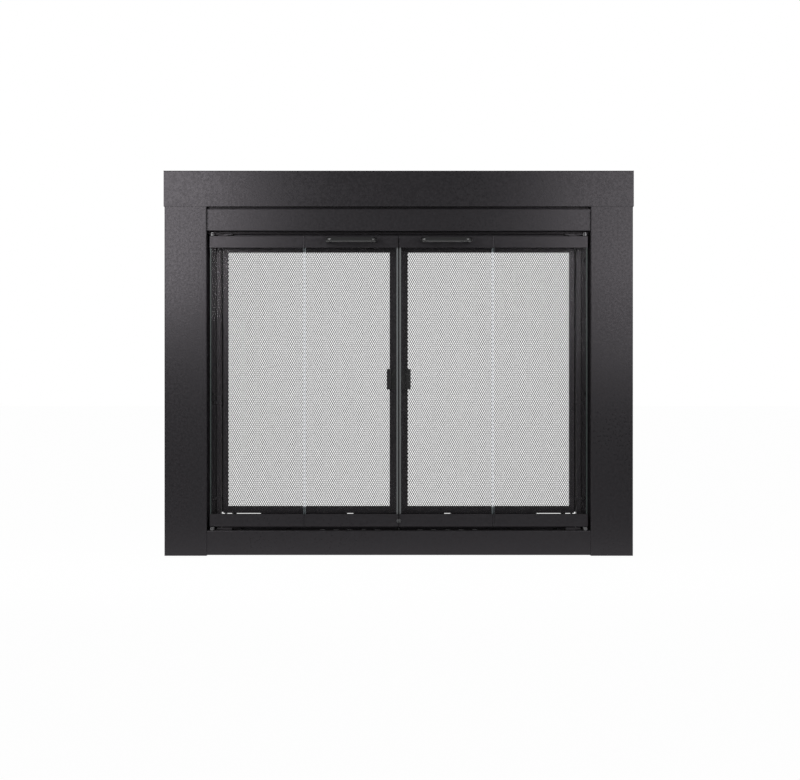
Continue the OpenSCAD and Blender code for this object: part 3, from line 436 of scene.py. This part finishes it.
def glass_finish(node):
    """An inner pane is free at its edge near x = 0, and an outer pane at its far edge."""
    low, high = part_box(node)
    near, far = sorted((low.x, high.x), key=abs)
    if "inner" in node:
        return pane_finish("glass_" + node, near, far, **INNER_EDGES)
    return pane_finish("glass_" + node, far, near, **OUTER_EDGES)


for part in frame["record"]["subparts"]:
    node, slot = part["node"], part["material_slot"]
    if slot == "clear_glass":
        finish = glass_finish(node)
    else:
        finish = OWN_FINISH.get(node, FINISHES[slot])
    for held in frame["nodes"][node].material_slots:
        held.material = finish.material

# %% [markdown]
# ## Woven wire
#
# The screens carry woven wire whose diamonds are taller than wide: 4.43 mm across and 7.92 mm up,
# measured from the pattern that it makes with the photograph's pixels. It could be a picture with
# holes on a flat plane, but that would be flat from the side and leave no real mesh, so each wire
# is made. Thousands of short faces are slow to build one by one, so a mesh is filled from arrays.

# %% A mesh from arrays
def mesh_piece(name, verts, faces, finish):
    """An object whose mesh has these vertices and these faces of four corners."""
    mesh = bpy.data.meshes.new(name)
    mesh.vertices.add(len(verts))
    mesh.vertices.foreach_set("co", verts.ravel())
    mesh.loops.add(4 * len(faces))
    mesh.loops.foreach_set("vertex_index", faces.ravel())
    mesh.polygons.add(len(faces))
    mesh.polygons.foreach_set("loop_start", 4 * np.arange(len(faces)))
    mesh.polygons.foreach_set("use_smooth", np.ones(len(faces), bool))
    mesh.update(calc_edges=True)
    mesh.validate()
    mesh.materials.append(finish.material)
    made = bpy.data.objects.new(name, mesh)
    bpy.context.scene.collection.objects.link(made)
    print("mesh", name, "of", len(verts), "vertices and", len(faces), "faces")
    return made


CELL = (4.43 * MM, 7.92 * MM)
WIRE = (0.98 * MM, 0.6 * MM)
print("diamonds", CELL, "wire", WIRE)

# %% [markdown]
# The crossings form a staggered lattice of half cells, at every (i, j) with i + j even. One family
# of wires climbs through the crossings (i + 1, j + 1), the other falls through (i + 1, j - 1). A
# climbing wire lies in front where i is even and behind where i is odd, and a falling wire does the
# opposite, which is the over-and-under of a loom. A wire could be a bevelled curve, but it is
# rolled flat, about 1 mm wide and 0.6 mm thick, and nearly straight between two crossings. So one
# ring of four vertices at each crossing, joined to the next ring by four faces, is enough for it.

# %% One family of parallel wires
def wire_family(name, low, high, front, rise):
    """Parallel wires over the rectangle low..high (x, z), behind y = front.

    Wire k holds the crossings (i, j) with j = rise * i + 2k. A crossing lies at
    x = low.x + i * cell.x / 2, z = low.z + j * cell.z / 2, and with t the wire's thickness its
    centre there is y = front + t * (1.1 - rise * (-1)^i / 2).
    """
    half = np.array(CELL) / 2
    ni, nj = np.floor((np.array(high) - low) / half).astype(int)
    along = np.array([half[0], rise * half[1]]) / math.hypot(*half)
    across = np.array([-along[1], along[0]])
    corner = np.array([[-1, -1], [1, -1], [1, 1], [-1, 1]]) * np.array(WIRE) / 2
    quad = np.array([0, 1, 2, 3])
    verts, faces, base = [], [], 0
    for start in np.arange(-2 * ni, nj + 2 * ni, 2):
        i = np.arange(0, ni + 1)
        i = i[(start + rise * i >= 0) & (start + rise * i <= nj)]
        if len(i) < 3:
            continue
        x = low[0] + i * half[0]
        z = low[1] + (start + rise * i) * half[1]
        y = front + WIRE[1] * (1.1 - rise * (0.5 - i % 2))
        ring = np.empty((len(i), 4, 3))
        ring[:, :, 0] = x[:, None] + across[0] * corner[None, :, 0]
        ring[:, :, 2] = z[:, None] + across[1] * corner[None, :, 0]
        ring[:, :, 1] = y[:, None] + corner[None, :, 1]
        a = base + 4 * np.arange(len(i) - 1)[:, None] + quad
        b = np.roll(a, -1, axis=1)
        end = base + 4 * (len(i) - 1)
        verts.append(ring.reshape(-1, 3))
        faces.append(np.stack([a, a + 4, b + 4, b], axis=2).reshape(-1, 4))
        faces.append(np.array([base + quad, end + quad[::-1]]))
        base += 4 * len(i)
    print(len(verts), "wires in", name)
    return mesh_piece(name, np.concatenate(verts), np.concatenate(faces), mesh_wire)


# %% [markdown]
# On the real screen the wire is cut to size and clamped between a pressed frame and its retainer.
# The packed model has a coarse net in that place. Each family fills the net's own rectangle, less a
# small inset for the wire's half width, rides the screen's body and replaces the net. The ends lie
# under the frame. Both families could be one piece, but as two each has half the triangles.

# %% Weave both screens
INSET = 0.4 * MM
for side in ("left", "right"):
    low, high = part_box(side + "_screen_mesh")
    corners = ((low.x + INSET, low.z + INSET), (high.x - INSET, high.z - INSET), low.y)
    for rise, word in ((1, "climbing"), (-1, "falling")):
        wires = wire_family(f"{side}_mesh_{word}_wires", *corners, rise)
        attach(wires, side + "_screen")
        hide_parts(side + "_screen_mesh")
        print(wires.name, 2 * len(wires.data.polygons), "triangles")

# %% [markdown]
# ## The room
#
# The photograph has a white ground and two big soft lamps, high on the left and on the right, so the
# sheet fades from grey at the upper corners to black in the middle and at the foot. A brighter lamp
# could burn the ground white, but it would grey the black sheet too. So the white comes from colour
# alone: rays from the camera and through glass see white everywhere, glossy rays see it behind the
# object, where the backdrop hangs, and all other light sees a dim studio.

# %% White behind, dim in front
STUDIO = 0.2


def white_room():
    world = bpy.data.worlds.new("room")
    bpy.context.scene.world = world
    world.use_nodes = True
    room = Nodes(world.node_tree)
    ray = room.add("ShaderNodeLightPath")
    way = room.add("ShaderNodeTexCoord").output("Generated")
    behind = room.add("ShaderNodeSeparateXYZ", None, way).output("Y").ramp(0.0, 0.2)
    seen = ray.output("Is Camera Ray").max(ray.output("Is Transmission Ray"))
    seen = seen.max(ray.output("Is Glossy Ray") * behind)
    ground = room.tree.nodes["Background"].inputs
    room.put(ground["Color"], (1, 1, 1, 1))
    room.put(ground["Strength"], seen + (1 - seen) * STUDIO)
    print("room", len(room.tree.nodes), "nodes")


white_room()

# %% [markdown]
# The floor is a white sheet that glows in the same way, a little short of fully, so that it still
# takes the object's shadow. From just in front of the object backwards it is bright to glossy rays
# too, which draws the light line under the rods. Further forward it falls off to a dim grey, because
# a floor that is bright all over would lift the black of the whole lower half.

# %% The floor
FLOOR_HALF = 30.0
FLOOR_GLOW, FLOOR_SEEN = 1.03, 0.95
GLOSS_FAR, GLOSS_NEAR = 0.03, 0.8
NEAR = (-0.4, -0.12)


def floor_plane():
    floor = Finish("floor", Base_Color=(0.8, 0.8, 0.8, 1), Roughness=0.9)
    ray = floor.add("ShaderNodeLightPath")
    seen = ray.output("Is Camera Ray").max(ray.output("Is Transmission Ray")) * FLOOR_SEEN
    gloss = GLOSS_FAR + GLOSS_NEAR * floor.y.ramp(*NEAR)
    share = seen.max(ray.output("Is Glossy Ray") * gloss)
    glow = floor.add("ShaderNodeEmission", Strength=FLOOR_GLOW)
    paint = Value(floor, floor.shader.outputs[0])
    mixed = floor.add("ShaderNodeMixShader", None, share, paint, glow)
    floor.put(floor.tree.nodes["Material Output"].inputs["Surface"], mixed)
    corners = np.array([[-1, -1, 0], [1, -1, 0], [1, 1, 0], [-1, 1, 0]]) * FLOOR_HALF
    mesh_piece("floor", corners, np.array([[0, 1, 2, 3]]), floor)
    floor.tell()


floor_plane()

# %% [markdown]
# The lamps are plain soft boxes half a metre across. They stand 0.6 m in front of the upper corners
# and a little outside them, turned inwards and down, so the sheen is strongest near those corners
# and dies away below. A lamp over the camera could light the sheet more evenly, but the photograph
# has no such light. The left lamp is the stronger, as there.

# %% Two soft lamps
def soft_lamp(name, place, target, size, watts):
    """A rectangular lamp at `place` that faces `target` and hides from the camera."""
    lamp = bpy.data.lights.new(name, "AREA")
    lamp.shape, lamp.energy = "RECTANGLE", watts
    lamp.size, lamp.size_y = size
    made = bpy.data.objects.new(name, lamp)
    bpy.context.scene.collection.objects.link(made)
    made.location = place
    away = np.array(target) - np.array(place)
    level = math.hypot(away[0], away[1])
    made.rotation_euler = (math.atan2(level, -away[2]), 0, math.atan2(-away[0], away[1]))
    made.visible_camera = False
    print(name, watts, "W at", place)


soft_lamp("lamp_left", (-0.6, -0.6, 0.75), target=(-0.27, 0, 0.475), size=(0.45, 0.52), watts=2.75)
soft_lamp("lamp_right", (0.6, -0.6, 0.69), target=(0.27, 0, 0.475), size=(0.45, 0.55), watts=1.8)

# %% [markdown]
# ## The camera
#
# The photograph is taken straight on, 3.2 m in front of the header, with the lens axis 336 mm above
# the hearth. A closer camera with a wider lens could frame the same header, 470 of 800 pixels wide,
# but the doors and screens behind it would shrink more than they do.

# %% A long lens, straight on
EYE = (2.6 * MM, -3.24, 0.336)
FOCAL_MM, SENSOR_MM = 71.1, 36.0
lens = bpy.data.cameras.new("camera")
lens.lens, lens.sensor_width = FOCAL_MM, SENSOR_MM
camera = bpy.data.objects.new("camera", lens)
camera.location = EYE
camera.rotation_euler = (math.radians(90), 0, 0)
bpy.context.scene.collection.objects.link(camera)
bpy.context.scene.camera = camera
bpy.context.scene.view_settings.view_transform = "Standard"
print("camera at", EYE, "lens", FOCAL_MM, "mm")

# %% [markdown] The wires are the only new form, and they should lie inside the packed model's box.
